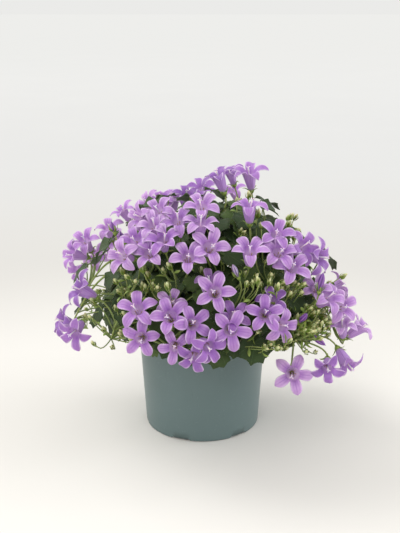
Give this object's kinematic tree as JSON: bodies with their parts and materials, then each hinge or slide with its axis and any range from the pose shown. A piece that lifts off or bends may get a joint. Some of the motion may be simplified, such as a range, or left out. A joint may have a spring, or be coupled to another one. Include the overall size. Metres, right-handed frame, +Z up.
{
  "type": "potted dalmatian bellflower",
  "caption": "Flowering dalmatian bellflower in a round plastic nursery pot: a mound of violet star-lobed bells on thin stalks over small toothed leaves; stands on its flat foot.",
  "frame": {"origin": "middle of the pot foot, on the surface that the pot stands on", "axes": "+Z up, -Y towards the pictured front, +X to its right"},
  "size_m": [0.2558, 0.2242, 0.2192],
  "materials": {
    "pot_plastic": "smooth satin moulded polypropylene in grey green",
    "potting_soil": null,
    "greens": null,
    "petals": null
  },
  "bodies": {
    "root": {"bloom_01": "petals", "bloom_02": "petals", "bloom_03": "petals", "bloom_04": "petals", "bloom_05": "petals", "bloom_06": "petals", "bloom_07": "petals", "bloom_08": "petals", "bloom_09": "petals", "bloom_10": "petals", "bloom_11": "petals", "bloom_12": "petals", "bloom_13": "petals", "bloom_14": "petals", "bloom_15": "petals", "bloom_16": "petals", "bloom_17": "petals", "bloom_18": "petals", "bloom_19": "petals", "bloom_20": "petals", "bloom_21": "petals", "bloom_22": "petals", "bloom_23": "petals", "bloom_24": "petals", "bloom_25": "petals", "bloom_26": "petals", "bloom_27": "petals", "bloom_28": "petals", "bloom_29": "petals", "bloom_30": "petals", "bloom_31": "petals", "bloom_32": "petals", "bloom_33": "petals", "bloom_34": "petals", "bloom_35": "petals", "bloom_36": "petals", "bloom_37": "petals", "bloom_38": "petals", "bloom_39": "petals", "leafy_stem_01": "greens", "leafy_stem_02": "greens", "leafy_stem_03": "greens", "leafy_stem_04": "greens", "leafy_stem_05": "greens", "leafy_stem_06": "greens", "leafy_stem_07": "greens", "leafy_stem_08": "greens", "leafy_stem_09": "greens", "leafy_stem_10": "greens", "leafy_stem_11": "greens", "leafy_stem_12": "greens", "leafy_stem_13": "greens", "pot": "pot_plastic", "soil": "potting_soil"}
  },
  "joints": []
}
